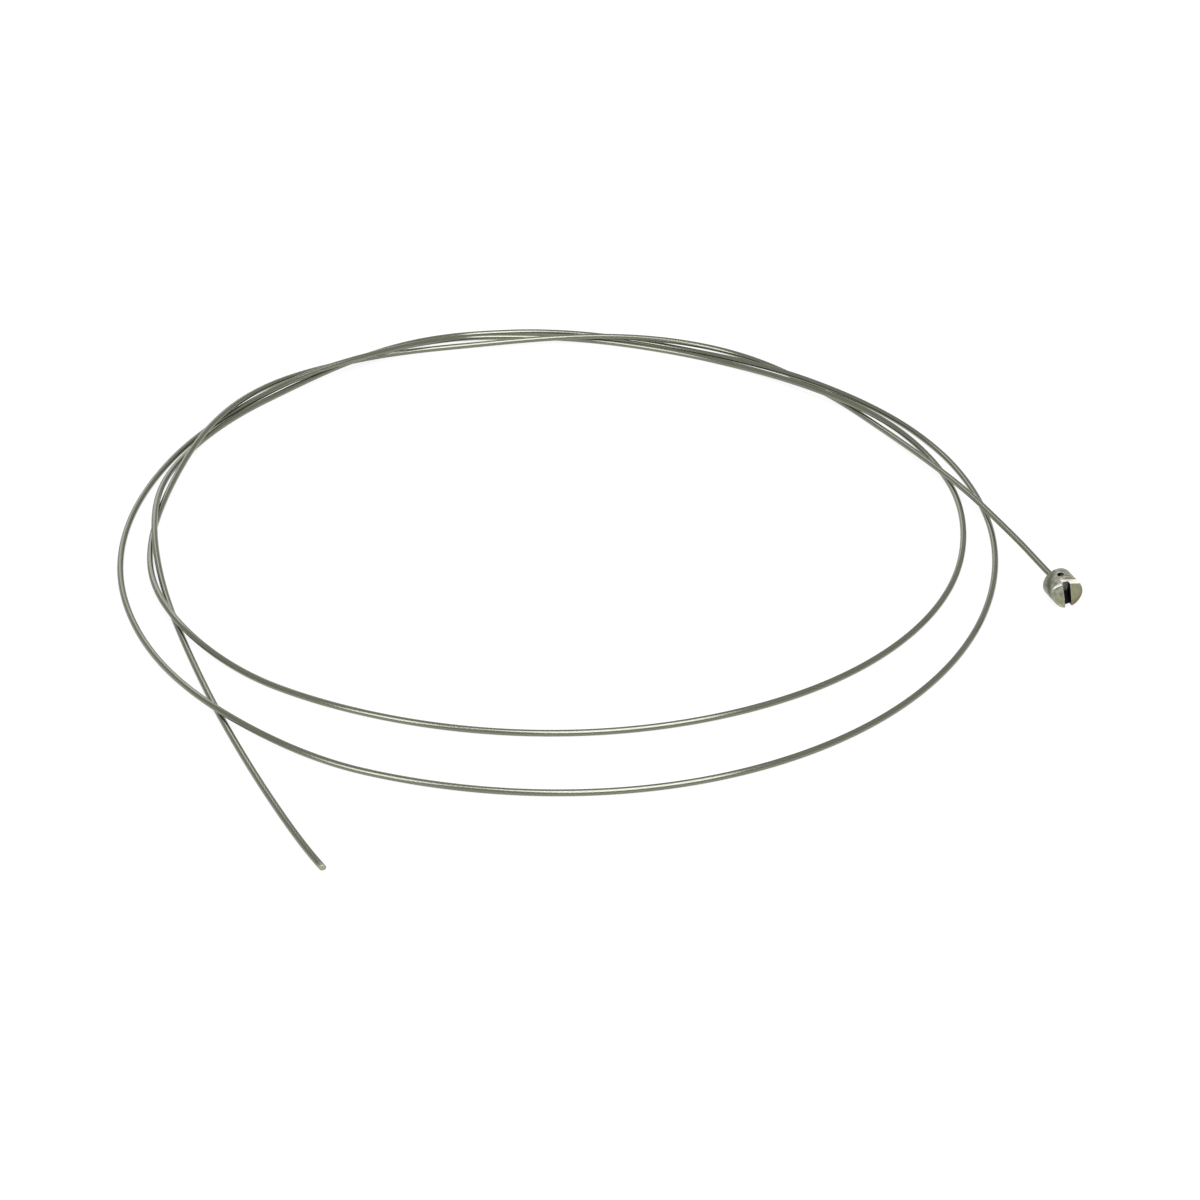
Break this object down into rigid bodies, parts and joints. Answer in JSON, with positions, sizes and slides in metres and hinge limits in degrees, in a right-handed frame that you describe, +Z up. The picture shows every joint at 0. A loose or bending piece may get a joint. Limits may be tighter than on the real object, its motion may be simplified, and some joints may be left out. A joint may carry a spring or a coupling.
{
  "type": "brake inner cable",
  "caption": "Bare steel inner wire with a slotted cylindrical nipple at one end, lying in a loose coil with its free end out.",
  "frame": {"origin": "on the surface that the cable lies on, at the middle of the box round the whole cable", "axes": "+Z up from the surface; +Y away from the free end, along the longest side of the box; +X to the right, on the nipple's side"},
  "size_m": [0.2268, 0.2374, 0.0073],
  "materials": {
    "strand_steel": "galvanised steel strand, dull grey with a soft lengthwise sheen",
    "nipple_zinc": null
  },
  "bodies": {
    "root": {"cable_strand": "strand_steel", "cable_nipple": "nipple_zinc"}
  },
  "joints": []
}
